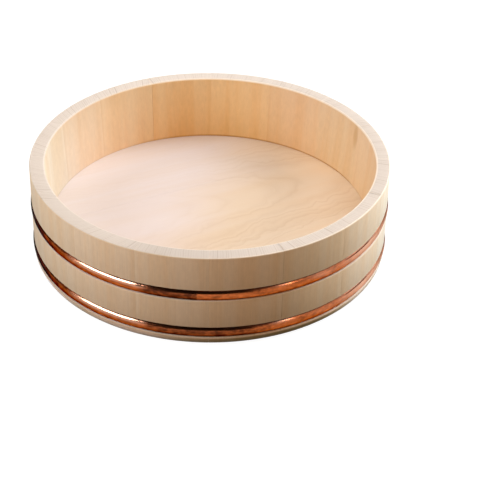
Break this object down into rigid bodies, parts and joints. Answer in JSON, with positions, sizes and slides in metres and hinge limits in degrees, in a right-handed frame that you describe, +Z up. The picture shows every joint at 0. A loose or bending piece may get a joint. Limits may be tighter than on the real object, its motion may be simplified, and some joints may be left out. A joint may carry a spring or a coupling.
{
  "type": "sushi rice tub",
  "caption": "Shallow round coopered wooden tub with radial-jointed staves, an inset plank bottom and two half-round copper hoops, for cooling and dressing sushi rice.",
  "frame": {"origin": "middle of the ring that the tub stands on, at the level of its base", "axes": "+Z up along the tub's axis, -Y towards the viewer, +X to the viewer's right"},
  "size_m": [0.271, 0.271, 0.075],
  "materials": {
    "stave_wood": "planed, unvarnished pale softwood, straight upright grain",
    "board_wood": "planed, unvarnished pale softwood, plain-sawn figure",
    "bamboo": "split and shaved bamboo",
    "copper": "polished copper, half round, lightly dressed by hammer"
  },
  "bodies": {
    "root": {"stave_01": "stave_wood", "stave_02": "stave_wood", "stave_03": "stave_wood", "stave_04": "stave_wood", "stave_05": "stave_wood", "stave_06": "stave_wood", "stave_07": "stave_wood", "stave_08": "stave_wood", "stave_09": "stave_wood", "stave_10": "stave_wood", "stave_11": "stave_wood", "stave_12": "stave_wood", "stave_13": "stave_wood", "stave_14": "stave_wood", "stave_15": "stave_wood", "stave_16": "stave_wood", "front_bottom_board": "board_wood", "middle_bottom_board": "board_wood", "back_bottom_board": "board_wood", "upper_hoop": "copper", "lower_hoop": "copper", "stave_pin_01": "bamboo", "stave_pin_02": "bamboo", "stave_pin_03": "bamboo", "stave_pin_04": "bamboo", "stave_pin_05": "bamboo", "stave_pin_06": "bamboo", "stave_pin_07": "bamboo", "stave_pin_08": "bamboo", "stave_pin_09": "bamboo", "stave_pin_10": "bamboo", "stave_pin_11": "bamboo", "stave_pin_12": "bamboo", "stave_pin_13": "bamboo", "stave_pin_14": "bamboo", "stave_pin_15": "bamboo", "stave_pin_16": "bamboo", "board_pin_01": "bamboo", "board_pin_02": "bamboo", "board_pin_03": "bamboo", "board_pin_04": "bamboo"}
  },
  "joints": []
}
